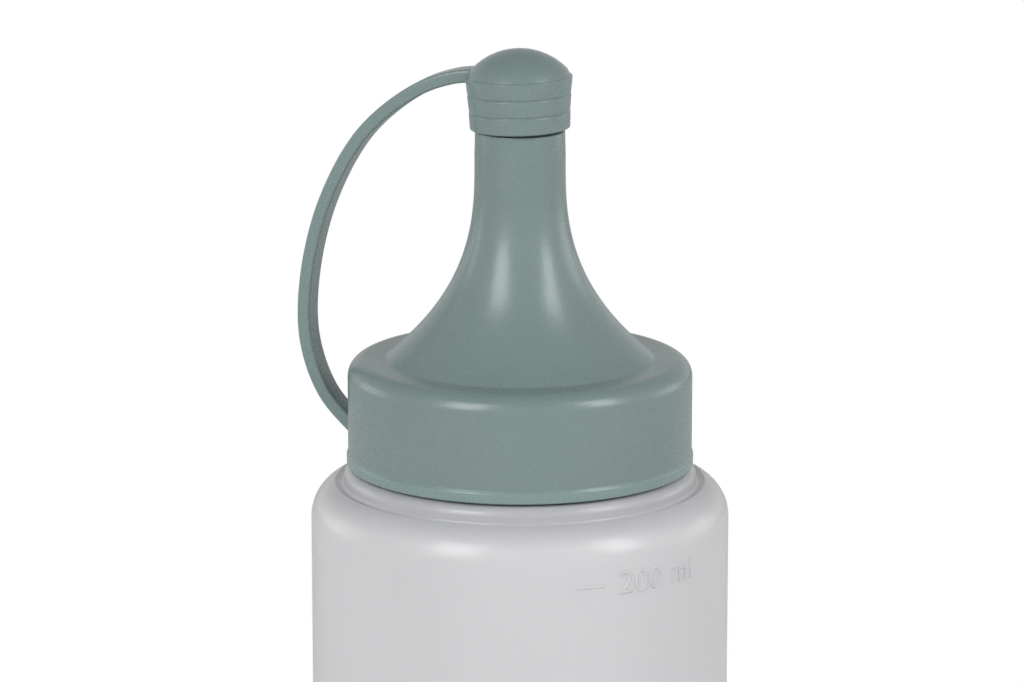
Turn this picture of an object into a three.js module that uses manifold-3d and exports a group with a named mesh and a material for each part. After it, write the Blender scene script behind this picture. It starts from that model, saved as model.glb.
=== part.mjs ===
// A squeeze bottle for oil: a blown bottle with a screw neck, a spout cap with a drawn-out nozzle,
// a sealing washer under its deck, and a domed tip cap that a flexible strap keeps at hand.
// Millimetres, +Z up. The origin is the centre of the bottle's base, and the strap reaches to -X.
import * as THREE from 'three';
import { mergeVertices } from 'three/addons/utils/BufferGeometryUtils.js';
import Module from 'manifold-3d';

const wasm = await Module();
wasm.setup();

// Clearances
const SEAT_GAP = 0.3; // between two pieces that rest on each other
const THREAD_PLAY = 0.35; // around the engaged screw thread
const SPIGOT_PLAY = 0.3; // between the tip cap and the spigot it slides over
const PLUG_PLAY = 0.4; // between the tip cap's plug and the spout hole

// Bottle
const BODY_R = 25.5;
const BODY_WALL = 0.9;
const BODY_STRAIGHT = 110.4; // height of the straight side, base included
const HEEL_R = 4;
const SHOULDER_R = 4.7;
const SHOULDER_TURN = 80; // degrees of the shoulder's round before it meets the neck ring
const RING_HEIGHT = 1.67;
const RING_INSET = 4.6; // from the body's side to the neck ring's side
const RING_ROUND = 0.8;
const RING_FILLET = 0.7;
const NECK_R = 17.9; // outer face of the neck, at the root of the thread
const NECK_WALL = 1.5;
const NECK_HEIGHT = 10.2; // from the top of the neck ring to the rim
const RIM_ROUND = 0.4;

// Screw thread, right-handed, the same ridge on the neck and in the cap
const PITCH = 4.2;
const THREAD_TURNS = 1.25;
const THREAD_DEPTH = 1.1;
const THREAD_ROOT_WIDTH = 2;
const THREAD_CREST_WIDTH = 0.9;
const THREAD_RUN_OUT = 25; // degrees over which each end of the ridge fades into its wall
const THREAD_SINK = 0.3; // depth of the ridge's foot inside its wall
const THREAD_TOP_SPACE = 0.65; // bare neck above the top ridge

// Sealing washer
const WASHER_THICKNESS = 1;
const WASHER_BORE_R = 15;

// Spout cap
const COLLAR_WALL = 1.6;
const COLLAR_EDGE_R = 1.7;
const DECK_THICKNESS = 1.5;
const BEAD_HEIGHT = 1.5;
const BEAD_OUT = 0.17; // how far the bead at the collar's foot stands out
const CONE_FOOT_R = 15.9;
const CONE_FOOT_RISE = 0.4; // height of the fillet between the deck and the cone
const CONE_FOOT_SLOPE = 40.3; // degrees above the deck
const CONE_FOOT_PULL = 14.1; // length of the curve's handle at the foot
const CONE_NECK_PULL = 6.7; // length of its handle at the neck
const CONE_HEIGHT = 25;
const NOZZLE_HEIGHT = 28; // from the deck to the shoulder that the tip cap sits on
const NOZZLE_R = 5.5;
const NOZZLE_TOP_R = 5.42;
const NOZZLE_WALL = 1.4;
const SPIGOT_R = 4.5;
const SPIGOT_HEIGHT = 6.8;
const SPIGOT_WALL = 1.3;
const SPIGOT_ROUND = 0.5;
const SPOUT_HOLE_R = 1.5;
const SPOUT_LAND = 2.2; // length of the narrow hole at the tip

// Tip cap
const TIP_TIERS = [6.1, 6.3, 6.44]; // radius of each tier of the skirt, from the bottom
const TIP_TIER_HEIGHT = 2.1;
const TIP_FLARE = 0.03; // how much wider each tier is at its top
const TIP_LIP_ROUND = 0.15;
const DOME_R = 8;
const TIP_CEILING_GAP = 0.5; // from the spigot's end to the cap's ceiling
const PLUG_LENGTH = 2.4;
const PLUG_CHAMFER = 0.3;

// Strap, in the upright plane through the bottle's axis that the azimuth gives
const STRAP_AZIMUTH = 163; // degrees from +X
const STRAP_THICKNESS = 1.65;
const STRAP_WIDTH = 3.6;
const STRAP_EDGE_R = 0.4;
const STRAP_REACH = 27.25; // from the axis to the strap's middle at its widest
const STRAP_ROOT_HEIGHT = 3.6; // above the collar's foot
const STRAP_TIP_DROP = 0.1; // from the dome's edge down to the strap's middle
const STRAP_STEPS = 48;

// Facets
const BODY_SEGMENTS = 48;
const TIP_SEGMENTS = 36;
const ARC_STEPS = 4;
const CONE_STEPS = 12;

// Levels and radii that follow from the sizes above
const radians = THREE.MathUtils.degToRad;
const shoulderCentreR = BODY_R - SHOULDER_R;
const shoulderEndR = shoulderCentreR + SHOULDER_R * Math.cos(radians(SHOULDER_TURN));
const ringFootZ = BODY_STRAIGHT + SHOULDER_R * Math.sin(radians(SHOULDER_TURN));
const ringR = BODY_R - RING_INSET;
const ringTopZ = ringFootZ + RING_HEIGHT;
const rimZ = ringTopZ + NECK_HEIGHT;
const neckBoreR = NECK_R - NECK_WALL;

const collarBoreR = NECK_R + THREAD_DEPTH + THREAD_PLAY;
const collarR = collarBoreR + COLLAR_WALL;
const beadR = collarR + BEAD_OUT;
const collarFootZ = ringTopZ + SEAT_GAP;
const washerFootZ = rimZ + SEAT_GAP;
const washerTopZ = washerFootZ + WASHER_THICKNESS;
const deckUndersideZ = washerTopZ + SEAT_GAP;
const deckZ = deckUndersideZ + DECK_THICKNESS;
const nozzleTopZ = deckZ + NOZZLE_HEIGHT;
const spigotTopZ = nozzleTopZ + SPIGOT_HEIGHT;

const neckThreadZ = rimZ - THREAD_TOP_SPACE - THREAD_ROOT_WIDTH / 2 - PITCH * THREAD_TURNS;
const flankSlope = (THREAD_ROOT_WIDTH - THREAD_CREST_WIDTH) / 2 / THREAD_DEPTH;
const ridgeWidthsAcross = THREAD_ROOT_WIDTH + THREAD_CREST_WIDTH - 2 * flankSlope * THREAD_PLAY;
const capThreadZ = neckThreadZ - ridgeWidthsAcross / 2 - THREAD_PLAY;

const tipBoreR = SPIGOT_R + SPIGOT_PLAY;
const tipFootZ = nozzleTopZ + SEAT_GAP;
const tipCeilingZ = spigotTopZ + TIP_CEILING_GAP;
const domeEdgeR = TIP_TIERS.at(-1) + TIP_FLARE;
const domeEdgeZ = tipFootZ + TIP_TIERS.length * TIP_TIER_HEIGHT;
const domeCentreZ = domeEdgeZ - Math.sqrt(DOME_R ** 2 - domeEdgeR ** 2);
const plugR = SPOUT_HOLE_R - PLUG_PLAY;

/** Half of a turned section, as points (radius, height) joined by lines, arcs and curves. */
class Outline {
  constructor(r, z) {
    this.points = [new THREE.Vector2(r, z)];
  }

  line(r, z) {
    const next = new THREE.Vector2(r, z);
    if (next.distanceTo(this.points.at(-1)) > 1e-3) this.points.push(next);
    return this;
  }

  arc(centreR, centreZ, radius, fromDegrees, toDegrees, steps = ARC_STEPS) {
    for (let i = 0; i <= steps; i += 1) {
      const angle = radians(fromDegrees + ((toDegrees - fromDegrees) * i) / steps);
      this.line(centreR + radius * Math.cos(angle), centreZ + radius * Math.sin(angle));
    }
    return this;
  }

  curve(curve, steps) {
    for (const point of curve.getPoints(steps)) this.line(point.x, point.y);
    return this;
  }
}

/** The signed volume of a closed mesh: positive where its faces point out. */
function signedVolume(positions, index) {
  const [a, b, c] = [new THREE.Vector3(), new THREE.Vector3(), new THREE.Vector3()];
  let sum = 0;
  for (let i = 0; i < index.length; i += 3) {
    a.fromArray(positions, 3 * index[i]);
    b.fromArray(positions, 3 * index[i + 1]);
    c.fromArray(positions, 3 * index[i + 2]);
    sum += a.dot(b.cross(c)) / 6;
  }
  return sum;
}

/** A solid from a closed geometry: vertices merged, empty triangles dropped, faces pointing out. */
function solidOf(geometry) {
  geometry.deleteAttribute('normal');
  geometry.deleteAttribute('uv');
  const merged = mergeVertices(geometry, 1e-4);
  const positions = new Float32Array(merged.attributes.position.array);
  const index = merged.index.array;
  const kept = [];
  for (let i = 0; i < index.length; i += 3) {
    const [a, b, c] = [index[i], index[i + 1], index[i + 2]];
    if (a !== b && b !== c && c !== a) kept.push(a, b, c);
  }
  if (signedVolume(positions, kept) < 0) kept.reverse();
  const mesh = new wasm.Mesh({ numProp: 3, vertProperties: positions, triVerts: new Uint32Array(kept) });
  return new wasm.Manifold(mesh);
}

/** A closed outline turned round the Z axis. */
function turned(outline, segments) {
  const points = [...outline.points];
  if (points[0].x > 0) points.push(points[0].clone());
  return solidOf(new THREE.LatheGeometry(points, segments).rotateX(Math.PI / 2));
}

/** A named mesh from a finished solid. */
function meshOf(name, solid, material) {
  const { vertProperties, triVerts } = solid.getMesh();
  const geometry = new THREE.BufferGeometry();
  geometry.setAttribute('position', new THREE.BufferAttribute(new Float32Array(vertProperties), 3));
  geometry.setIndex(new THREE.BufferAttribute(new Uint32Array(triVerts), 1));
  geometry.computeVertexNormals();
  const mesh = new THREE.Mesh(geometry, material);
  mesh.name = name;
  return mesh;
}

/**
 * One ridge of a right-hand thread: a trapezoid carried up a helix on a wall of radius wallR.
 * It stands outwards where side is 1 and inwards where side is -1, and both its ends fade away.
 */
function threadRidge(wallR, side, startZ) {
  const stations = Math.round(BODY_SEGMENTS * THREAD_TURNS);
  const runOut = (THREAD_RUN_OUT / 360) * BODY_SEGMENTS;
  const corners = [];
  for (let i = 0; i <= stations; i += 1) {
    const angle = (2 * Math.PI * i) / BODY_SEGMENTS;
    const z = startZ + (PITCH * angle) / (2 * Math.PI);
    const fade = Math.min(1, i / runOut, (stations - i) / runOut);
    const height = THREE.MathUtils.lerp(-THREAD_SINK / 2, THREAD_DEPTH, Math.sin((fade * Math.PI) / 2));
    const halfWidthAt = (h) => THREAD_ROOT_WIDTH / 2 - flankSlope * h;
    const section = [
      [-THREAD_SINK, -halfWidthAt(-THREAD_SINK)],
      [height, -halfWidthAt(height)],
      [height, halfWidthAt(height)],
      [-THREAD_SINK, halfWidthAt(-THREAD_SINK)],
    ];
    for (const [h, up] of section) {
      const r = wallR + side * h;
      corners.push(r * Math.cos(angle), r * Math.sin(angle), z + up);
    }
  }
  const index = [0, 1, 2, 0, 2, 3];
  for (let i = 0; i < stations; i += 1) {
    for (let k = 0; k < 4; k += 1) {
      const here = 4 * i + k;
      const beside = 4 * i + ((k + 1) % 4);
      index.push(here, here + 4, beside, beside, here + 4, beside + 4);
    }
  }
  const last = 4 * stations;
  index.push(last, last + 2, last + 1, last, last + 3, last + 2);
  const geometry = new THREE.BufferGeometry();
  geometry.setAttribute('position', new THREE.Float32BufferAttribute(corners, 3));
  geometry.setIndex(index);
  return solidOf(geometry);
}

/** The blown bottle: an even wall, a rounded shoulder, a neck ring and a threaded open neck. */
function bottle() {
  const heelCentreR = BODY_R - HEEL_R;
  const ringInsideR = ringR - NECK_WALL;
  const ringUndersideZ = ringFootZ + RING_HEIGHT - NECK_WALL;
  const outline = new Outline(0, 0)
    .arc(heelCentreR, HEEL_R, HEEL_R, -90, 0)
    .arc(shoulderCentreR, BODY_STRAIGHT, SHOULDER_R, 0, SHOULDER_TURN, 6)
    .arc(ringR + RING_FILLET, ringFootZ + RING_FILLET, RING_FILLET, -90, -180, 3)
    .arc(ringR - RING_ROUND, ringTopZ - RING_ROUND, RING_ROUND, 0, 90, 3)
    .line(NECK_R, ringTopZ)
    .arc(NECK_R - RIM_ROUND, rimZ - RIM_ROUND, RIM_ROUND, 0, 90, 2)
    .arc(neckBoreR + RIM_ROUND, rimZ - RIM_ROUND, RIM_ROUND, 90, 180, 2)
    .arc(neckBoreR + RING_ROUND, ringUndersideZ + RING_ROUND, RING_ROUND, 180, 270, 2)
    .line(ringInsideR, ringUndersideZ)
    .arc(shoulderCentreR, BODY_STRAIGHT, SHOULDER_R - BODY_WALL, SHOULDER_TURN, 0)
    .arc(heelCentreR, HEEL_R, HEEL_R - BODY_WALL, 0, -90)
    .line(0, BODY_WALL);
  return turned(outline, BODY_SEGMENTS).add(threadRidge(NECK_R, 1, neckThreadZ));
}

/** The flat washer that seals the rim against the underside of the cap's deck. */
function sealWasher() {
  const washerR = collarBoreR - THREAD_PLAY;
  const outline = new Outline(WASHER_BORE_R, washerFootZ)
    .line(washerR, washerFootZ)
    .line(washerR, washerTopZ)
    .line(WASHER_BORE_R, washerTopZ);
  return turned(outline, BODY_SEGMENTS);
}

/** The concave side of the cone, from its foot up to the nozzle, moved inwards by a wall. */
function coneSide(wall) {
  const slope = radians(CONE_FOOT_SLOPE);
  const foot = new THREE.Vector2(CONE_FOOT_R, deckZ + CONE_FOOT_RISE);
  foot.x -= wall * Math.sin(slope);
  foot.y -= wall * Math.cos(slope);
  const neck = new THREE.Vector2(NOZZLE_R - wall, deckZ + CONE_HEIGHT);
  const footHandle = foot.clone();
  footHandle.x -= CONE_FOOT_PULL * Math.cos(slope);
  footHandle.y += CONE_FOOT_PULL * Math.sin(slope);
  const neckHandle = new THREE.Vector2(neck.x, neck.y - CONE_NECK_PULL);
  return [foot, footHandle, neckHandle, neck];
}

/** Collar, deck, cone, nozzle and spigot in one moulding, open right through. */
function spoutCap() {
  const outer = coneSide(0);
  const inner = coneSide(NOZZLE_WALL).reverse();
  const beadTopZ = collarFootZ + BEAD_HEIGHT;
  const spigotBoreR = SPIGOT_R - SPIGOT_WALL;
  const outline = new Outline(collarBoreR, collarFootZ)
    .arc(beadR - BEAD_HEIGHT / 3, collarFootZ + BEAD_HEIGHT / 3, BEAD_HEIGHT / 3, -90, 0, 2)
    .line(beadR, beadTopZ - 2 * BEAD_OUT)
    .line(collarR, beadTopZ)
    .arc(collarR - COLLAR_EDGE_R, deckZ - COLLAR_EDGE_R, COLLAR_EDGE_R, 0, 90)
    .line(CONE_FOOT_R + CONE_FOOT_RISE, deckZ)
    .curve(new THREE.CubicBezierCurve(...outer), CONE_STEPS)
    .line(NOZZLE_TOP_R, nozzleTopZ)
    .line(SPIGOT_R, nozzleTopZ)
    .arc(SPIGOT_R - SPIGOT_ROUND, spigotTopZ - SPIGOT_ROUND, SPIGOT_ROUND, 0, 90, 2)
    .line(SPOUT_HOLE_R, spigotTopZ)
    .line(SPOUT_HOLE_R, spigotTopZ - SPOUT_LAND)
    .line(spigotBoreR, spigotTopZ - SPOUT_LAND - (spigotBoreR - SPOUT_HOLE_R))
    .line(spigotBoreR, nozzleTopZ)
    .curve(new THREE.CubicBezierCurve(...inner), CONE_STEPS - 2)
    .line(inner.at(-1).x + NOZZLE_WALL / 2, deckUndersideZ)
    .line(collarBoreR, deckUndersideZ);
  return turned(outline, BODY_SEGMENTS).add(threadRidge(collarBoreR, -1, capThreadZ));
}

/** The tip cap: a tiered skirt under a dome, with a plug that shuts the spout hole. */
function tipCap() {
  const outline = new Outline(tipBoreR, tipFootZ);
  TIP_TIERS.forEach((radius, tier) => {
    const footZ = tipFootZ + tier * TIP_TIER_HEIGHT;
    outline.line(radius - TIP_LIP_ROUND, footZ);
    outline.line(radius, footZ + TIP_LIP_ROUND / 2);
    outline.line(radius + TIP_FLARE, footZ + TIP_TIER_HEIGHT);
  });
  const edgeAngle = THREE.MathUtils.radToDeg(Math.acos(domeEdgeR / DOME_R));
  outline
    .arc(0, domeCentreZ, DOME_R, edgeAngle, 90, 6)
    .line(0, tipCeilingZ - PLUG_LENGTH)
    .line(plugR - PLUG_CHAMFER, tipCeilingZ - PLUG_LENGTH)
    .line(plugR, tipCeilingZ - PLUG_LENGTH + PLUG_CHAMFER)
    .line(plugR, tipCeilingZ)
    .line(tipBoreR, tipCeilingZ);
  return turned(outline, TIP_SEGMENTS);
}

/** A plain cylinder round the axis that stands for a neighbour with its gap. */
function clearanceRound(radius, fromZ, toZ, segments) {
  return turned(new Outline(0, fromZ).line(radius, fromZ).line(radius, toZ).line(0, toZ), segments);
}

/** The strap: a flat band bent in one plane, cut off just short of both caps. */
function strap() {
  const tipZ = domeEdgeZ - STRAP_TIP_DROP;
  const rootZ = collarFootZ + STRAP_ROOT_HEIGHT;
  const route = new THREE.CatmullRomCurve3([
    new THREE.Vector3(domeEdgeR - 2.4, 0, tipZ + 0.1),
    new THREE.Vector3(domeEdgeR + 1.5, 0, tipZ - 0.25),
    new THREE.Vector3(STRAP_REACH - 14.4, 0, tipZ - 2.15),
    new THREE.Vector3(STRAP_REACH - 7.8, 0, tipZ - 7.6),
    new THREE.Vector3(STRAP_REACH - 2.95, 0, tipZ - 16),
    new THREE.Vector3(STRAP_REACH - 0.4, 0, rootZ + 18.4),
    new THREE.Vector3(STRAP_REACH - 0.2, 0, rootZ + 10.2),
    new THREE.Vector3(STRAP_REACH - 2.4, 0, rootZ + 3.8),
    new THREE.Vector3(collarR + 0.4, 0, rootZ - 0.2),
    new THREE.Vector3(collarR - 2.4, 0, rootZ - 2.4),
  ]);
  const [w, t, r] = [STRAP_WIDTH / 2, STRAP_THICKNESS / 2, STRAP_EDGE_R];
  const section = new THREE.Shape([
    new THREE.Vector2(w, -t + r),
    new THREE.Vector2(w, t - r),
    new THREE.Vector2(w - r, t),
    new THREE.Vector2(-w + r, t),
    new THREE.Vector2(-w, t - r),
    new THREE.Vector2(-w, -t + r),
    new THREE.Vector2(-w + r, -t),
    new THREE.Vector2(w - r, -t),
  ]);
  const band = new THREE.ExtrudeGeometry(section, { steps: STRAP_STEPS, extrudePath: route });
  band.rotateZ(radians(STRAP_AZIMUTH));
  const tipSide = clearanceRound(domeEdgeR + SEAT_GAP, tipZ - 9, tipZ + 9, BODY_SEGMENTS);
  const collarSide = clearanceRound(collarR + SEAT_GAP, rootZ - 9, rootZ + 9, BODY_SEGMENTS);
  return solidOf(band).subtract(tipSide).subtract(collarSide);
}

const milkyPlastic = new THREE.MeshStandardMaterial({ color: 0xd2d1d4, roughness: 0.42 });
const greenPlastic = new THREE.MeshStandardMaterial({ color: 0x8aa09c, roughness: 0.45 });
const sealRubber = new THREE.MeshStandardMaterial({ color: 0xe9e7e2, roughness: 0.7 });

const oilBottle = new THREE.Group();
oilBottle.add(
  meshOf('bottle', bottle(), milkyPlastic),
  meshOf('seal_washer', sealWasher(), sealRubber),
  meshOf('spout_cap', spoutCap(), greenPlastic),
  meshOf('strap', strap(), greenPlastic),
  meshOf('tip_cap', tipCap(), greenPlastic),
);

export default oilBottle;
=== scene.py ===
"""Looks of the oil bottle: fine turned meshes, milky and satin plastic, and a plain white studio.

Lengths are in metres. Turned sections are lists of points (r, z), from the axis outwards and up.
"""

import math

import bmesh
import bpy
from mathutils import Matrix, Vector


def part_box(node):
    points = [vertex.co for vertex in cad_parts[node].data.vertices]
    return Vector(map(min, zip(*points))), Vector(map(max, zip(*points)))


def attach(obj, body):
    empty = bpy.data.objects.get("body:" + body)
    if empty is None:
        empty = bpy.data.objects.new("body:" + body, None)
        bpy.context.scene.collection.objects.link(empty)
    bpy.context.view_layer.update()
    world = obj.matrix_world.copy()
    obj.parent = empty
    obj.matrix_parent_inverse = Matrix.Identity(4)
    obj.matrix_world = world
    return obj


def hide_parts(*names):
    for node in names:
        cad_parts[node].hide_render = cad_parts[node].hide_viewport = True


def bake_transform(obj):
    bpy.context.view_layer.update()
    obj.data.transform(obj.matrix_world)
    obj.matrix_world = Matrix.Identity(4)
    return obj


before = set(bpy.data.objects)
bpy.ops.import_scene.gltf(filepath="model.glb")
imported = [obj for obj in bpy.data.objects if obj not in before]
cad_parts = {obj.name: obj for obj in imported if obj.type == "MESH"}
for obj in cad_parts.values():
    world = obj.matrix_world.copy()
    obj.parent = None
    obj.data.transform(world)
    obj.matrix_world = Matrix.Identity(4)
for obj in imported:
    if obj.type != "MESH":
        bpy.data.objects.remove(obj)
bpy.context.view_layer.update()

MM = 0.001

# Sizes that come from the frame, in metres
bottle_low, bottle_high = (Vector(corner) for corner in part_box("bottle"))
spout_low, spout_high = (Vector(corner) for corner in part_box("spout_cap"))
_, washer_high = (Vector(corner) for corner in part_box("seal_washer"))
tip_low, tip_high = (Vector(corner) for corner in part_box("tip_cap"))
BODY_R = bottle_high.x
RIM_Z = bottle_high.z
COLLAR_FOOT_Z = spout_low.z
BEAD_R = spout_high.x
SPIGOT_TOP_Z = spout_high.z
TIP_FOOT_Z = tip_low.z
DOME_EDGE_R = tip_high.x
DOME_TOP_Z = tip_high.z

# Bottle
BODY_WALL = 0.9 * MM
HEEL_R = 4 * MM
SHOULDER_R = 4.7 * MM
SHOULDER_TURN = math.radians(80)
SHOULDER_END = math.radians(68)  # outside, where the crease round the neck ring begins
CREASE_DEPTH = 0.5 * MM
BODY_STRAIGHT = 110.4 * MM
RING_INSET = 4 * MM
RING_HEIGHT = 1.67 * MM
RING_ROUND = 1.3 * MM
RING_FILLET = 0.35 * MM
NECK_R = 17.9 * MM
NECK_WALL = 1.5 * MM
NECK_FILLET = 0.3 * MM
RIM_ROUND = 0.4 * MM
BORE_ROUND = 0.8 * MM

# Screw thread
PITCH = 4.2 * MM
THREAD_TURNS = 1.25
THREAD_DEPTH = 1.1 * MM
THREAD_ROOT_WIDTH = 2 * MM
THREAD_CREST_WIDTH = 0.9 * MM
THREAD_EDGE = 0.12 * MM  # of the bevels along the crest
THREAD_SINK = 0.3 * MM
THREAD_RUN_OUT = math.radians(25)
THREAD_TOP_SPACE = 0.65 * MM
THREAD_PLAY = 0.35 * MM

# Spout cap
BEAD_OUT = 0.17 * MM  # how far the bead at the collar's foot stands out
COLLAR_R = BEAD_R - BEAD_OUT
COLLAR_WALL = 1.6 * MM
COLLAR_EDGE_R = 2.2 * MM
DECK_THICKNESS = 1.5 * MM
SEAT_GAP = 0.3 * MM  # from the washer's top to the deck
DECK_Z = washer_high.z + SEAT_GAP + DECK_THICKNESS
BEAD_HEIGHT = 1.5 * MM
CONE_FOOT_R = 15.9 * MM
CONE_FOOT_RISE = 0.4 * MM
CONE_FOOT_SLOPE = math.radians(40.3)
CONE_FOOT_PULL = 14.1 * MM
CONE_NECK_PULL = 6.7 * MM
CONE_HEIGHT = 25 * MM
NOZZLE_HEIGHT = 28 * MM
NOZZLE_TOP_Z = DECK_Z + NOZZLE_HEIGHT
NOZZLE_R = 5.5 * MM
NOZZLE_TOP_R = 5.42 * MM
NOZZLE_WALL = 1.4 * MM
SPIGOT_R = 4.5 * MM
SPIGOT_WALL = 1.3 * MM
SPOUT_HOLE_R = 1.5 * MM
SPOUT_LAND = 2.2 * MM

# Tip cap
TIP_TIERS = ((6.04 * MM, 6.12 * MM), (6.1 * MM, 6.27 * MM), (6.25 * MM, 6.46 * MM))  # foot and top radii
TIP_TIER_HEIGHT = 2.1 * MM
TIP_GROOVE = 0.14 * MM  # depth and half height of the groove between two tiers
TIP_BORE_R = 4.8 * MM
TIP_CEILING_GAP = 0.5 * MM  # from the spigot's end to the cap's ceiling
TIP_CEILING_Z = SPIGOT_TOP_Z + TIP_CEILING_GAP
DOME_R = 8 * MM
DOME_LEDGE = 0.25 * MM  # width of the rim round the dome's foot
DOME_LIP = 0.05 * MM  # half the rim's height
TIP_TILT = math.radians(1.5)  # the cap sits a little askew, its right side higher
PLUG_R = 1.1 * MM
PLUG_LENGTH = 2.4 * MM

# Strap
STRAP_AZIMUTH = math.radians(163)
STRAP_THICKNESS = 1.6 * MM
STRAP_WIDTH = 3.55 * MM
STRAP_EDGE_R = 0.35 * MM
STRAP_REACH = 27.25 * MM
STRAP_ROOT_HEIGHT = 3.6 * MM
STRAP_TIP_DROP = 0.1 * MM
STRAP_TIP_SINK = 1.1 * MM  # how far the strap runs into the tip cap
STRAP_ROOT_SINK = 0.6 * MM  # how far it runs into the collar
STRAP_ROOT_ZONE = 6 * MM  # height over the collar's foot where it is cut off inside the collar

# Level marks on the bottle: a line and a number of millilitres for each
MARK_TOP_Z = 107.75 * MM
MARK_TOP_VOLUME = 200
MARK_STEP_VOLUME = 50
MILLILITRE_RISE = 0.526 * MM
MARK_RELIEF = 0.18 * MM
MARK_SINK = 0.06 * MM  # how deep the marks' middle plane lies in the wall
MARK_LINE_START = math.radians(13.8)
MARK_LINE_LENGTH = 4.7 * MM
MARK_LINE_HEIGHT = 0.55 * MM
MARK_TEXT_START = math.radians(27)
MARK_TEXT_SIZE = 4 * MM
MARK_TEXT_SPACING = 1.08
MARK_TEXT_EXTRUDE = 0.03 * MM  # half the straight part of a stroke's thickness

# Heights between which the colour changes: painted shade, darker and bluer, over the shoulder's top, the
# neck ring and the crease between them, and painted light on the collar's foot bead, where light comes
# through its thin plastic
NECK_PAINTED_SHADE_START = 112.5 * MM
NECK_PAINTED_SHADE_END = 115.6 * MM
BEAD_PAINTED_LIGHT_START = COLLAR_FOOT_Z + 1.7 * MM
BEAD_PAINTED_LIGHT_END = COLLAR_FOOT_Z + 1.2 * MM

# The parts of a noise texture's values, which lie round 0.5, over which roughness and colour change
ROUGHNESS_FROM, ROUGHNESS_TO = 0.3, 0.7
COLOUR_FROM, COLOUR_TO = 0.35, 0.65

# Fineness of the meshes
SEGMENTS = 192
TIP_SEGMENTS = 128
ARC_STEP = math.radians(7)
CONE_STEPS = 48
STRAP_STEPS = 160
SHARP_ANGLE = math.radians(40)
MERGE_DISTANCE = 1e-7


def arc(centre_r, centre_z, radius, start, end):
    """Points of an arc in the half plane of a turned section. Angles are from the outward direction."""
    steps = max(2, math.ceil(abs(end - start) / ARC_STEP))
    angles = [start + (end - start) * i / steps for i in range(steps + 1)]
    return [(centre_r + radius * math.cos(a), centre_z + radius * math.sin(a)) for a in angles]


def bezier(points, steps):
    """Points of a cubic curve with four control points (r, z)."""
    a, b, c, d = (Vector(p) for p in points)
    result = []
    for i in range(steps + 1):
        t = i / steps
        s = 1 - t
        point = a * s**3 + b * (3 * s * s * t) + c * (3 * s * t * t) + d * t**3
        result.append(tuple(point))
    return result


def rounded(corners):
    """An outline's points, from corners (r, z) that stay and corners (r, z, radius) that are rounded."""
    points = []
    for i, corner in enumerate(corners):
        if len(corner) == 2:
            points.append(corner)
            continue
        here = Vector(corner[:2])
        before = Vector(corners[i - 1][:2]) - here
        after = Vector(corners[(i + 1) % len(corners)][:2]) - here
        half = before.angle(after) / 2
        reach = min(corner[2] / math.tan(half), 0.48 * before.length, 0.48 * after.length)
        radius = reach * math.tan(half)
        centre = here + (before.normalized() + after.normalized()).normalized() * radius / math.sin(half)
        start = here + before.normalized() * reach - centre
        end = here + after.normalized() * reach - centre
        sweep = start.angle_signed(end)
        steps = max(2, math.ceil(abs(sweep) / (2 * ARC_STEP)))
        angle = math.atan2(start.y, start.x)
        for k in range(steps + 1):
            a = angle - sweep * k / steps
            points.append((centre.x + radius * math.cos(a), centre.y + radius * math.sin(a)))
    return points


def mesh_object(name, vertices, faces, material):
    """A smooth mesh with sharp corners kept, faces pointing out."""
    mesh = bpy.data.meshes.new(name)
    mesh.from_pydata(vertices, [], faces)
    work = bmesh.new()
    work.from_mesh(mesh)
    bmesh.ops.remove_doubles(work, verts=work.verts, dist=MERGE_DISTANCE)
    bmesh.ops.recalc_face_normals(work, faces=work.faces)
    work.to_mesh(mesh)
    work.free()
    mesh.shade_smooth()
    mesh.set_sharp_from_angle(angle=SHARP_ANGLE)
    mesh.materials.append(material)
    piece = bpy.data.objects.new(name, mesh)
    bpy.context.scene.collection.objects.link(piece)
    return piece


def turned(name, outline, segments, material):
    """A closed outline of points (r, z) turned round the Z axis."""
    vertices, rings = [], []
    for r, z in outline:
        if r < MERGE_DISTANCE:
            rings.append([len(vertices)] * segments)
            vertices.append((0, 0, z))
            continue
        rings.append(list(range(len(vertices), len(vertices) + segments)))
        for k in range(segments):
            angle = 2 * math.pi * k / segments
            vertices.append((r * math.cos(angle), r * math.sin(angle), z))
    faces = []
    for i, ring in enumerate(rings):
        following = rings[(i + 1) % len(rings)]
        for k in range(segments):
            n = (k + 1) % segments
            corners = list(dict.fromkeys((ring[k], ring[n], following[n], following[k])))
            if len(corners) > 2:
                faces.append(corners)
    return mesh_object(name, vertices, faces, material)


def swept(name, sections, material):
    """A solid through rings of points, all of the same length, with a flat cap at each end."""
    size = len(sections[0])
    vertices = [point for section in sections for point in section]
    faces = [list(range(size)), list(range(len(vertices) - size, len(vertices)))]
    for i in range(len(sections) - 1):
        for k in range(size):
            n = (k + 1) % size
            faces.append([i * size + k, i * size + n, (i + 1) * size + n, (i + 1) * size + k])
    return mesh_object(name, vertices, faces, material)


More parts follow.
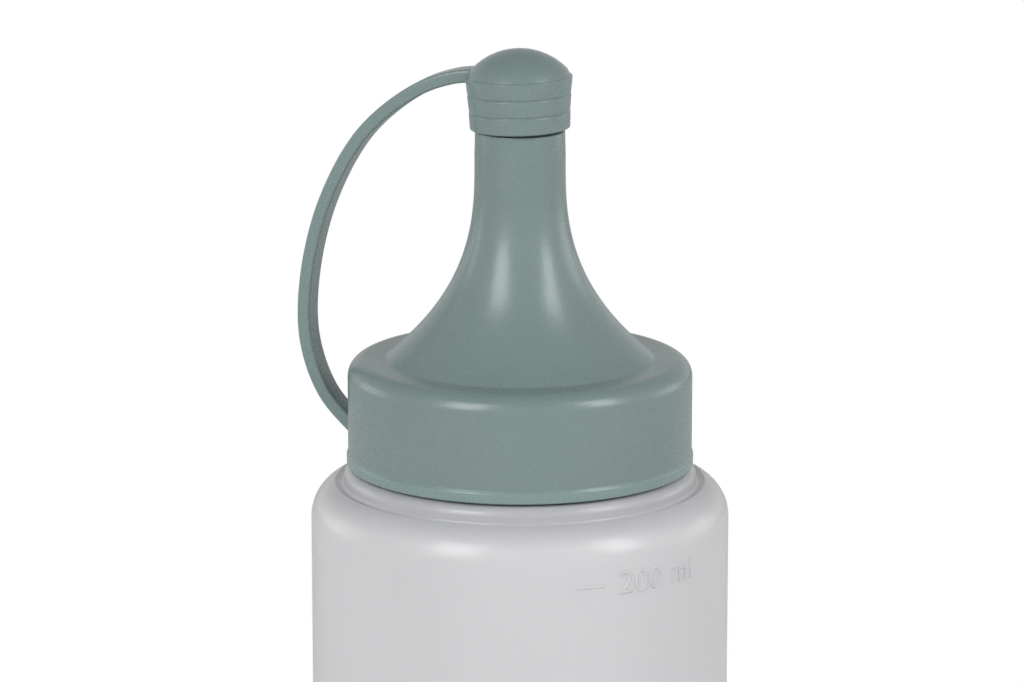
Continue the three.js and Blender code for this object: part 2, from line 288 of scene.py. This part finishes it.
def thread_ridge(name, wall_r, side, start_z, material):
    """A right-hand thread's ridge on a wall of radius wall_r, outwards for side 1, inwards for side -1."""
    slope = (THREAD_ROOT_WIDTH - THREAD_CREST_WIDTH) / 2 / THREAD_DEPTH
    total = 2 * math.pi * THREAD_TURNS
    steps = round(SEGMENTS * THREAD_TURNS)
    sections = []
    for i in range(steps + 1):
        angle = total * i / steps
        fade = min(1, angle / THREAD_RUN_OUT, (total - angle) / THREAD_RUN_OUT)
        lift = math.sin(fade * math.pi / 2)
        height = -THREAD_SINK / 2 + (THREAD_DEPTH + THREAD_SINK / 2) * lift
        z = start_z + PITCH * angle / (2 * math.pi)
        crest = THREAD_ROOT_WIDTH / 2 - slope * height
        foot = THREAD_ROOT_WIDTH / 2 + slope * THREAD_SINK
        profile = [
            (-THREAD_SINK, -foot),
            (height - THREAD_EDGE, -crest - slope * THREAD_EDGE),
            (height, -crest + THREAD_EDGE),
            (height, crest - THREAD_EDGE),
            (height - THREAD_EDGE, crest + slope * THREAD_EDGE),
            (-THREAD_SINK, foot),
        ]
        section = []
        for out, up in profile:
            r = wall_r + side * out
            section.append((r * math.cos(angle), r * math.sin(angle), z + up))
        sections.append(section)
    return swept(name, sections, material)


def catmull_rom(points, steps):
    """Points along a smooth curve through the given points, spaced as their distances ask."""
    knots = [points[0] * 2 - points[1], *points, points[-1] * 2 - points[-2]]
    result = []
    spans = len(points) - 1
    for i in range(steps + 1):
        place = min(i / steps * spans, spans - 1e-9)
        k = int(place)
        a, b, c, d = knots[k : k + 4]
        times = [0.0]
        for p, q in ((a, b), (b, c), (c, d)):
            times.append(times[-1] + math.sqrt((q - p).length))
        t = times[1] + (times[2] - times[1]) * (place - k)

        def mix(p, q, t0, t1):
            return p * ((t1 - t) / (t1 - t0)) + q * ((t - t0) / (t1 - t0))

        ab = mix(a, b, times[0], times[1])
        bc = mix(b, c, times[1], times[2])
        cd = mix(c, d, times[2], times[3])
        abc = mix(ab, bc, times[0], times[2])
        bcd = mix(bc, cd, times[1], times[3])
        result.append(mix(abc, bcd, times[1], times[2]))
    return result


# Materials


def new_material(name, colour, roughness, **inputs):
    """A material with a Principled shader, its values on the shader's own sockets."""
    material = bpy.data.materials.new(name)
    material.use_nodes = True
    shader = material.node_tree.nodes["Principled BSDF"]
    shader.inputs["Base Color"].default_value = (*colour, 1)
    shader.inputs["Roughness"].default_value = roughness
    for socket, value in inputs.items():
        shader.inputs[socket.replace("_", " ")].default_value = value
    return material


def map_range(tree, value, from_low, from_high, to_low, to_high):
    """A value that goes from to_low to to_high while the given one goes from from_low to from_high."""
    node = tree.nodes.new("ShaderNodeMapRange")
    node.inputs["From Min"].default_value = from_low
    node.inputs["From Max"].default_value = from_high
    node.inputs["To Min"].default_value = to_low
    node.inputs["To Max"].default_value = to_high
    tree.links.new(value, node.inputs["Value"])
    return node.outputs["Result"]


def noise(material, scale, detail=2.0, stretch=(1, 1, 1)):
    """A noise texture in object space. Scale is in features per metre."""
    tree = material.node_tree
    coordinates = tree.nodes.new("ShaderNodeTexCoord")
    mapping = tree.nodes.new("ShaderNodeMapping")
    mapping.inputs["Scale"].default_value = stretch
    texture = tree.nodes.new("ShaderNodeTexNoise")
    texture.inputs["Scale"].default_value = scale
    texture.inputs["Detail"].default_value = detail
    tree.links.new(coordinates.outputs["Object"], mapping.inputs["Vector"])
    tree.links.new(mapping.outputs["Vector"], texture.inputs["Vector"])
    return texture


def vary_roughness(material, source, low, high):
    """The roughness follows the source from low to high."""
    tree = material.node_tree
    result = map_range(tree, source.outputs["Fac"], ROUGHNESS_FROM, ROUGHNESS_TO, low, high)
    tree.links.new(result, tree.nodes["Principled BSDF"].inputs["Roughness"])


def vary_colour(material, source, dark, light):
    """The base colour follows the source from dark to light."""
    tree = material.node_tree
    ramp = tree.nodes.new("ShaderNodeValToRGB")
    ramp.color_ramp.elements[0].position = COLOUR_FROM
    ramp.color_ramp.elements[0].color = (*dark, 1)
    ramp.color_ramp.elements[1].position = COLOUR_TO
    ramp.color_ramp.elements[1].color = (*light, 1)
    tree.links.new(source.outputs["Fac"], ramp.inputs["Fac"])
    shader = tree.nodes["Principled BSDF"]
    tree.links.new(ramp.outputs["Color"], shader.inputs["Base Color"])


def add_bump(material, layers):
    """Stacked bumps, each (texture, strength, distance in metres)."""
    tree = material.node_tree
    normal = None
    for texture, strength, distance in layers:
        bump = tree.nodes.new("ShaderNodeBump")
        bump.inputs["Strength"].default_value = strength
        bump.inputs["Distance"].default_value = distance
        tree.links.new(texture.outputs["Fac"], bump.inputs["Height"])
        if normal:
            tree.links.new(normal, bump.inputs["Normal"])
        normal = bump.outputs["Normal"]
    tree.links.new(normal, tree.nodes["Principled BSDF"].inputs["Normal"])


def tint(material, start, end, colour):
    """The base colour turns into another one from the start height to the end height."""
    tree = material.node_tree
    shader = tree.nodes["Principled BSDF"]
    coordinates = tree.nodes.new("ShaderNodeTexCoord")
    parts = tree.nodes.new("ShaderNodeSeparateXYZ")
    mix = tree.nodes.new("ShaderNodeMix")
    mix.data_type = "RGBA"
    factor, first, second = (mix.inputs[i] for i in (0, 6, 7))  # the sockets that a colour mix uses
    second.default_value = (*colour, 1)
    before = shader.inputs["Base Color"].links[0].from_socket
    tree.links.new(coordinates.outputs["Object"], parts.inputs["Vector"])
    tree.links.new(map_range(tree, parts.outputs["Z"], start, end, 0, 1), factor)
    tree.links.new(before, first)
    tree.links.new(mix.outputs[2], shader.inputs["Base Color"])


def milky_plastic():
    """Blown polyethylene: milky, softly glossy, with a faint waviness and faint clouds of tone."""
    material = new_material(
        "milky_plastic",
        colour=(0.62, 0.62, 0.64),
        roughness=0.25,
        IOR=1.45,
        Subsurface_Weight=0.35,
        Subsurface_Radius=(1.0, 0.95, 0.9),
        Subsurface_Scale=0.8 * MM,
    )
    material.node_tree.nodes["Principled BSDF"].subsurface_method = "BURLEY"
    cloud = noise(material, 55, detail=3, stretch=(1, 1, 0.5))
    vary_colour(material, cloud, (0.628, 0.626, 0.642), (0.644, 0.642, 0.658))
    add_bump(material, [(cloud, 0.12, 0.5 * MM)])
    # painted shade: darker and bluer from the shoulder's top up over the neck ring and the neck
    tint(material, NECK_PAINTED_SHADE_START, NECK_PAINTED_SHADE_END, (0.475, 0.477, 0.492))
    return material


def green_plastic():
    """Moulded sage green polyethylene: satin, with a fine matt grain and slight flow clouds."""
    material = new_material(
        "green_plastic", colour=(0.19, 0.262, 0.256), roughness=0.27, IOR=1.53
    )
    cloud = noise(material, 90, detail=3, stretch=(1, 1, 0.7))
    grain = noise(material, 3200, detail=3)
    vary_colour(material, cloud, (0.186, 0.257, 0.251), (0.194, 0.267, 0.261))
    vary_roughness(material, grain, 0.25, 0.3)
    add_bump(material, [(cloud, 0.08, 0.3 * MM), (grain, 0.04, 0.025 * MM)])
    # painted light: the foot bead lighter and greener, standing in for light coming through its thin
    # plastic
    tint(material, BEAD_PAINTED_LIGHT_START, BEAD_PAINTED_LIGHT_END, (0.215, 0.305, 0.29))
    return material


def seal_rubber():
    """The washer's pale foam rubber, with fine closed pores."""
    material = new_material("seal_rubber", colour=(0.8, 0.79, 0.75), roughness=0.7)
    pores = noise(material, 4200, detail=2)
    vary_colour(material, pores, (0.76, 0.75, 0.71), (0.82, 0.81, 0.77))
    add_bump(material, [(pores, 0.3, 0.05 * MM)])
    return material


# The bottle


def bottle_outline():
    """The blown wall's section, from the centre of the base up the outside and down the inside."""
    shoulder_r = BODY_R - SHOULDER_R
    heel_r = BODY_R - HEEL_R
    ring_r = BODY_R - RING_INSET
    ring_foot = BODY_STRAIGHT + SHOULDER_R * math.sin(SHOULDER_TURN)
    ring_top = ring_foot + RING_HEIGHT
    crease_z = ring_foot - CREASE_DEPTH
    neck_bore = NECK_R - NECK_WALL
    ring_under = ring_top - NECK_WALL
    quarter = math.pi / 2
    return [
        (0, 0),
        *arc(heel_r, HEEL_R, HEEL_R, -quarter, 0),
        *arc(shoulder_r, BODY_STRAIGHT, SHOULDER_R, 0, SHOULDER_END),
        *arc(ring_r + RING_FILLET, crease_z + RING_FILLET, RING_FILLET, -quarter, -math.pi),
        *arc(ring_r - RING_ROUND, ring_top - RING_ROUND, RING_ROUND, 0, quarter),
        *rounded([(0, ring_top), (NECK_R, ring_top, NECK_FILLET), (NECK_R, RIM_Z)])[1:-1],
        *arc(NECK_R - RIM_ROUND, RIM_Z - RIM_ROUND, RIM_ROUND, 0, quarter),
        *arc(neck_bore + RIM_ROUND, RIM_Z - RIM_ROUND, RIM_ROUND, quarter, math.pi),
        *arc(neck_bore + BORE_ROUND, ring_under + BORE_ROUND, BORE_ROUND, math.pi, 1.5 * math.pi),
        (ring_r - NECK_WALL, ring_under),
        *arc(shoulder_r, BODY_STRAIGHT, SHOULDER_R - BODY_WALL, SHOULDER_TURN, 0),
        *arc(heel_r, HEEL_R, HEEL_R - BODY_WALL, 0, -quarter),
        (0, BODY_WALL),
    ]


def make_bottle(material):
    """The bottle's wall and the ridge of its thread, and the height where the ridge starts."""
    start_z = RIM_Z - THREAD_TOP_SPACE - THREAD_ROOT_WIDTH / 2 - PITCH * THREAD_TURNS
    wall = turned("bottle_wall", bottle_outline(), SEGMENTS, material)
    ridge = thread_ridge("neck_thread", NECK_R, 1, start_z, material)
    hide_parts("bottle")
    return [wall, ridge], start_z


def on_body(mesh, angle, z):
    """Wraps a flat mesh in the XY plane, up along Y, on the bottle's side at an angle from the front."""
    for vertex in mesh.vertices:
        x, y, out = vertex.co
        turn = angle + x / BODY_R
        r = BODY_R - MARK_SINK + out
        vertex.co = (r * math.sin(turn), -r * math.cos(turn), z + y)


def raised_number(volume, material):
    """The number of a level mark, as soft raised strokes."""
    curve = bpy.data.curves.new(f"number_{volume}", "FONT")
    curve.body = f"{volume} ml"
    curve.size = MARK_TEXT_SIZE
    curve.align_y = "CENTER"
    curve.extrude = MARK_TEXT_EXTRUDE
    curve.bevel_depth = MARK_RELIEF
    curve.bevel_resolution = 2
    curve.offset = -MARK_RELIEF
    curve.space_character = MARK_TEXT_SPACING
    source = bpy.data.objects.new(f"number_{volume}", curve)
    bpy.context.scene.collection.objects.link(source)
    graph = bpy.context.evaluated_depsgraph_get()
    mesh = bpy.data.meshes.new_from_object(source.evaluated_get(graph))
    bpy.data.objects.remove(source)
    bpy.data.curves.remove(curve)
    mesh.materials.clear()
    mesh.materials.append(material)
    mesh.shade_smooth()
    mesh.set_sharp_from_angle(angle=SHARP_ANGLE)
    piece = bpy.data.objects.new(f"number_{volume}", mesh)
    bpy.context.scene.collection.objects.link(piece)
    return piece


def raised_line(volume, material):
    """The line of a level mark: a low bar with rounded edges, bent round the body."""
    half = MARK_LINE_HEIGHT / 2
    bend_y, bend_out = half * 0.6, MARK_RELIEF * 0.55
    profile = [(-half, -MARK_RELIEF), (-bend_y, bend_out), (0, MARK_RELIEF)]
    profile += [(bend_y, bend_out), (half, -MARK_RELIEF)]
    steps, fade_steps = 16, 2
    sections = []
    for i in range(steps + 1):
        x = MARK_LINE_LENGTH * i / steps
        end = min(1, i / fade_steps, (steps - i) / fade_steps)
        sections.append([(x, y, -MARK_RELIEF + (out + MARK_RELIEF) * end) for y, out in profile])
    return swept(f"level_line_{volume}", sections, material)


def make_level_marks(material):
    """A line and a number for each level, one under the other."""
    marks = []
    for volume in range(MARK_TOP_VOLUME, 0, -MARK_STEP_VOLUME):
        z = MARK_TOP_Z - (MARK_TOP_VOLUME - volume) * MILLILITRE_RISE
        line = raised_line(volume, material)
        on_body(line.data, MARK_LINE_START, z)
        number = raised_number(volume, material)
        on_body(number.data, MARK_TEXT_START, z)
        marks += [line, number]
    return marks


# The spout cap


def cone_side(wall):
    """Control points of the cone's concave side, from its foot up, moved inwards by a wall."""
    slope = CONE_FOOT_SLOPE
    foot_r = CONE_FOOT_R - wall * math.sin(slope)
    foot_z = DECK_Z + CONE_FOOT_RISE - wall * math.cos(slope)
    neck_r = NOZZLE_R - wall
    neck_z = DECK_Z + CONE_HEIGHT
    return [
        (foot_r, foot_z),
        (foot_r - CONE_FOOT_PULL * math.cos(slope), foot_z + CONE_FOOT_PULL * math.sin(slope)),
        (neck_r, neck_z - CONE_NECK_PULL),
        (neck_r, neck_z),
    ]


def spout_outline():
    """Collar, deck, cone, nozzle and spigot, up the outside and down the inside."""
    collar_bore = COLLAR_R - COLLAR_WALL
    bead_top = COLLAR_FOOT_Z + BEAD_HEIGHT
    deck_under = DECK_Z - DECK_THICKNESS
    spigot_bore = SPIGOT_R - SPIGOT_WALL
    hole_foot = SPIGOT_TOP_Z - SPOUT_LAND
    cone_out = bezier(cone_side(0), CONE_STEPS)
    cone_in = bezier(cone_side(NOZZLE_WALL), CONE_STEPS)[::-1]
    corners = [
        (collar_bore, COLLAR_FOOT_Z, 0.3 * MM),
        (BEAD_R, COLLAR_FOOT_Z, 0.2 * MM),
        (BEAD_R, bead_top - 0.3 * MM, 0.25 * MM),
        (COLLAR_R - 0.06 * MM, bead_top, 0.1 * MM),
        (COLLAR_R, bead_top + 0.6 * MM),
        *arc(COLLAR_R - COLLAR_EDGE_R, DECK_Z - COLLAR_EDGE_R, COLLAR_EDGE_R, 0, math.pi / 2),
        (CONE_FOOT_R + CONE_FOOT_RISE, DECK_Z, 0.3 * MM),
        *cone_out,
        (NOZZLE_TOP_R, NOZZLE_TOP_Z, 0.15 * MM),
        (SPIGOT_R, NOZZLE_TOP_Z, 0.1 * MM),
        (SPIGOT_R, SPIGOT_TOP_Z, 0.5 * MM),
        (SPOUT_HOLE_R, SPIGOT_TOP_Z, 0.2 * MM),
        (SPOUT_HOLE_R, hole_foot),
        (spigot_bore, hole_foot - (spigot_bore - SPOUT_HOLE_R)),
        (spigot_bore, NOZZLE_TOP_Z),
        *cone_in,
        (cone_in[-1][0] + NOZZLE_WALL / 2, deck_under, 0.4 * MM),
        (collar_bore, deck_under, 0.4 * MM),
    ]
    return rounded(corners)


def make_spout_cap(material, neck_thread_z):
    """The spout cap and the ridge of the thread inside its collar."""
    slope = (THREAD_ROOT_WIDTH - THREAD_CREST_WIDTH) / 2 / THREAD_DEPTH
    across = THREAD_ROOT_WIDTH + THREAD_CREST_WIDTH - 2 * slope * THREAD_PLAY
    start_z = neck_thread_z - across / 2 - THREAD_PLAY
    cap = turned("spout_cap_moulding", spout_outline(), SEGMENTS, material)
    ridge = thread_ridge("cap_thread", COLLAR_R - COLLAR_WALL, -1, start_z, material)
    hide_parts("spout_cap")
    return [cap, ridge]


# The tip cap and the strap


def tip_outline():
    """The tiered skirt, the dome, and inside them the plug and the bore."""
    corners = [(TIP_BORE_R, TIP_FOOT_Z, 0.15 * MM)]
    for tier, (foot_r, top_r) in enumerate(TIP_TIERS):
        foot = TIP_FOOT_Z + tier * TIP_TIER_HEIGHT
        if tier:
            corners.append((foot_r - TIP_GROOVE, foot, 0.06 * MM))
            foot += TIP_GROOVE
        corners.append((foot_r, foot, 0.2 * MM))
        if tier < len(TIP_TIERS) - 1:
            corners.append((top_r, TIP_FOOT_Z + (tier + 1) * TIP_TIER_HEIGHT - TIP_GROOVE, 0.12 * MM))
    edge_z = TIP_FOOT_Z + len(TIP_TIERS) * TIP_TIER_HEIGHT
    dome_centre = DOME_TOP_Z - DOME_R
    edge_angle = math.acos(DOME_EDGE_R / DOME_R)
    dome = arc(0, dome_centre, DOME_R, edge_angle, math.pi / 2)
    corners.append((DOME_EDGE_R, edge_z - DOME_LIP, 0.12 * MM))
    corners.append((DOME_EDGE_R - DOME_LEDGE, edge_z + DOME_LIP, 0.05 * MM))
    corners += dome[1:-1]
    corners += [
        (0, DOME_TOP_Z),
        (0, TIP_CEILING_Z - PLUG_LENGTH),
        (PLUG_R, TIP_CEILING_Z - PLUG_LENGTH, 0.3 * MM),
        (PLUG_R, TIP_CEILING_Z, 0.2 * MM),
        (TIP_BORE_R, TIP_CEILING_Z, 0.3 * MM),
    ]
    return rounded(corners)


def make_tip_cap(material):
    """The tip cap, a little askew on the spigot."""
    cap = turned("tip_cap_moulding", tip_outline(), TIP_SEGMENTS, material)
    to_foot = Matrix.Translation((0, 0, -TIP_FOOT_Z))
    cap.data.transform(to_foot.inverted() @ Matrix.Rotation(-TIP_TILT, 4, "Y") @ to_foot)
    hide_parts("tip_cap")
    return cap


def strap_route():
    """The middle of the strap, from the tip cap's edge down to the collar, in its upright plane."""
    tip_z = TIP_FOOT_Z + len(TIP_TIERS) * TIP_TIER_HEIGHT - STRAP_TIP_DROP
    root_z = COLLAR_FOOT_Z + STRAP_ROOT_HEIGHT
    reach = STRAP_REACH
    places = [
        (DOME_EDGE_R - 2.4 * MM, tip_z + 0.1 * MM),
        (DOME_EDGE_R + 1.5 * MM, tip_z - 0.25 * MM),
        (reach - 14.4 * MM, tip_z - 2.15 * MM),
        (reach - 7.8 * MM, tip_z - 7.6 * MM),
        (reach - 2.95 * MM, tip_z - 16 * MM),
        (reach - 0.4 * MM, root_z + 18.4 * MM),
        (reach - 0.2 * MM, root_z + 10.2 * MM),
        (reach - 2.4 * MM, root_z + 3.8 * MM),
        (COLLAR_R + 0.4 * MM, root_z - 0.2 * MM),
        (COLLAR_R - 2.4 * MM, root_z - 2.4 * MM),
    ]
    return catmull_rom([Vector(place) for place in places], STRAP_STEPS)


def make_strap(material):
    """The strap: a band with rounded edges whose ends run into both caps."""
    route = [p for p in strap_route() if p.x > DOME_EDGE_R - STRAP_TIP_SINK]
    above_root = COLLAR_FOOT_Z + STRAP_ROOT_ZONE
    route = [p for p in route if p.y > above_root or p.x > COLLAR_R - STRAP_ROOT_SINK]
    outward = Vector((math.cos(STRAP_AZIMUTH), math.sin(STRAP_AZIMUTH), 0))
    across = Vector((-math.sin(STRAP_AZIMUTH), math.cos(STRAP_AZIMUTH), 0))
    up = Vector((0, 0, 1))
    half_w, half_t, edge = STRAP_WIDTH / 2, STRAP_THICKNESS / 2, STRAP_EDGE_R
    profile = rounded([
        (half_w, -half_t, edge), (half_w, half_t, edge), (-half_w, half_t, edge), (-half_w, -half_t, edge),
    ])
    sections = []
    for i, place in enumerate(route):
        along = route[min(i + 1, len(route) - 1)] - route[max(i - 1, 0)]
        along.normalize()
        normal = Vector((along.y, -along.x))
        section = []
        for w, t in profile:
            flat = place + normal * t
            section.append(outward * flat.x + up * flat.y + across * w)
        sections.append(section)
    piece = swept("tether_strap", sections, material)
    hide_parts("strap")
    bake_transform(piece)
    return piece


# The studio

CAMERA_PLACE = (-0.00097, -0.5679, 0.26207)
CAMERA_PITCH = math.radians(12.9)
CAMERA_LENS = 168.75
SENSOR_WIDTH = 36
AIM = Vector((0, 0, 0.13))
LAMPS = (
    # name, azimuth from the camera's side and elevation in degrees, distance, width, height, watts
    ("left_softbox", -38, 30, 1.0, 0.42, 0.62, 4.8),
    ("right_softbox", 59, 30, 1.0, 0.34, 0.62, 3.9),
    ("back_left_softbox", -115, 6, 1.2, 0.6, 0.45, 1.1),
    ("back_right_softbox", 115, 6, 1.2, 0.6, 0.45, 1.1),
)
AMBIENT_LEVEL = 0.76  # from the sides
AMBIENT_TOP = 0  # from straight above
GLOSSY_WHITE = 0.12  # share of the white background in the reflections
FLOOR_GLOW = 0.75  # near the object, rising to 1 between the two radii
FLOOR_GLOW_NEAR = 0.12
FLOOR_GLOW_FAR = 0.3
FLOOR_GAP = 0.02 * MM  # under the bottle's base
FLOOR_HALF = 3.0
FLOOR_ALBEDO = 0.88


def add_camera():
    """The photograph's view: a long lens, looking slightly down on the caps."""
    data = bpy.data.cameras.new("camera")
    data.lens = CAMERA_LENS
    data.sensor_width = SENSOR_WIDTH
    data.clip_start = 0.01
    camera = bpy.data.objects.new("camera", data)
    camera.location = CAMERA_PLACE
    camera.rotation_euler = (math.pi / 2 - CAMERA_PITCH, 0, 0)
    bpy.context.scene.collection.objects.link(camera)
    bpy.context.scene.camera = camera


def add_lamps():
    """Two tall softboxes in front, left and right, and two weak ones behind."""
    for name, azimuth, elevation, distance, width, height, watts in LAMPS:
        data = bpy.data.lights.new(name, "AREA")
        data.shape = "RECTANGLE"
        data.size = width
        data.size_y = height
        data.energy = watts
        lamp = bpy.data.objects.new(name, data)
        a, e = math.radians(azimuth), math.radians(elevation)
        away = Vector((math.sin(a) * math.cos(e), -math.cos(a) * math.cos(e), math.sin(e)))
        lamp.location = AIM + away * distance
        lamp.rotation_euler = away.to_track_quat("Z", "Y").to_euler()
        lamp.visible_camera = False
        bpy.context.scene.collection.objects.link(lamp)


def seen_directly(tree, glossy_share):
    """1 on camera and transmission rays, the given share on glossy rays, else 0."""
    path = tree.nodes.new("ShaderNodeLightPath")
    glossy = tree.nodes.new("ShaderNodeMath")
    glossy.operation = "MULTIPLY"
    glossy.inputs[1].default_value = glossy_share
    first = tree.nodes.new("ShaderNodeMath")
    first.operation = "MAXIMUM"
    second = tree.nodes.new("ShaderNodeMath")
    second.operation = "MAXIMUM"
    tree.links.new(path.outputs["Is Camera Ray"], first.inputs[0])
    tree.links.new(path.outputs["Is Transmission Ray"], first.inputs[1])
    tree.links.new(path.outputs["Is Glossy Ray"], glossy.inputs[0])
    tree.links.new(first.outputs["Value"], second.inputs[0])
    tree.links.new(glossy.outputs["Value"], second.inputs[1])
    return second.outputs["Value"]


def set_world():
    """A background that looks white and lights the object more from the sides than from above."""
    world = bpy.data.worlds.new("studio")
    bpy.context.scene.world = world
    world.use_nodes = True
    tree = world.node_tree
    ambient = tree.nodes["Background"]
    ambient.inputs["Color"].default_value = (1, 1, 1, 1)
    direction = tree.nodes.new("ShaderNodeTexCoord")
    parts = tree.nodes.new("ShaderNodeSeparateXYZ")
    tree.links.new(direction.outputs["Generated"], parts.inputs["Vector"])
    strength = map_range(tree, parts.outputs["Z"], 0, 1, AMBIENT_LEVEL, AMBIENT_TOP)
    tree.links.new(strength, ambient.inputs["Strength"])
    white = tree.nodes.new("ShaderNodeBackground")
    white.inputs["Color"].default_value = (1, 1, 1, 1)
    white.inputs["Strength"].default_value = 1
    mix = tree.nodes.new("ShaderNodeMixShader")
    tree.links.new(seen_directly(tree, GLOSSY_WHITE), mix.inputs["Fac"])
    tree.links.new(ambient.outputs["Background"], mix.inputs[1])
    tree.links.new(white.outputs["Background"], mix.inputs[2])
    tree.links.new(mix.outputs["Shader"], tree.nodes["World Output"].inputs["Surface"])


def add_floor():
    """A pale floor that looks white and keeps the object's shadow."""
    material = bpy.data.materials.new("pale_floor")
    material.use_nodes = True
    tree = material.node_tree
    tree.nodes.remove(tree.nodes["Principled BSDF"])
    matt = tree.nodes.new("ShaderNodeBsdfDiffuse")
    matt.inputs["Color"].default_value = (FLOOR_ALBEDO, FLOOR_ALBEDO, FLOOR_ALBEDO, 1)
    glow = tree.nodes.new("ShaderNodeEmission")
    share = tree.nodes.new("ShaderNodeMath")
    share.operation = "MULTIPLY"
    place = tree.nodes.new("ShaderNodeTexCoord")
    distance = tree.nodes.new("ShaderNodeVectorMath")
    distance.operation = "LENGTH"
    tree.links.new(place.outputs["Object"], distance.inputs[0])
    glow_share = map_range(tree, distance.outputs["Value"], FLOOR_GLOW_NEAR, FLOOR_GLOW_FAR, FLOOR_GLOW, 1)
    tree.links.new(glow_share, share.inputs[1])
    mix = tree.nodes.new("ShaderNodeMixShader")
    tree.links.new(seen_directly(tree, GLOSSY_WHITE), share.inputs[0])
    tree.links.new(share.outputs["Value"], mix.inputs["Fac"])
    tree.links.new(matt.outputs["BSDF"], mix.inputs[1])
    tree.links.new(glow.outputs["Emission"], mix.inputs[2])
    tree.links.new(mix.outputs["Shader"], tree.nodes["Material Output"].inputs["Surface"])
    half = FLOOR_HALF
    z = bottle_low.z - FLOOR_GAP
    corners = [(-half, -half, z), (half, -half, z), (half, half, z), (-half, half, z)]
    mesh = bpy.data.meshes.new("floor")
    mesh.from_pydata(corners, [], [(0, 1, 2, 3)])
    mesh.materials.append(material)
    floor = bpy.data.objects.new("floor", mesh)
    bpy.context.scene.collection.objects.link(floor)


# Putting it together

milky = milky_plastic()
green = green_plastic()
rubber = seal_rubber()

bottle_pieces, neck_thread_z = make_bottle(milky)
for piece in bottle_pieces + make_level_marks(milky):
    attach(piece, "bottle_body")

for piece in make_spout_cap(green, neck_thread_z):
    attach(piece, "spout_body")

tip = make_tip_cap(green)
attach(tip, "tip_body")

strap = make_strap(green)

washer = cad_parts["seal_washer"]
washer.data.materials.clear()
washer.data.materials.append(rubber)

add_camera()
add_lamps()
set_world()
add_floor()
bpy.context.scene.view_settings.view_transform = "Standard"
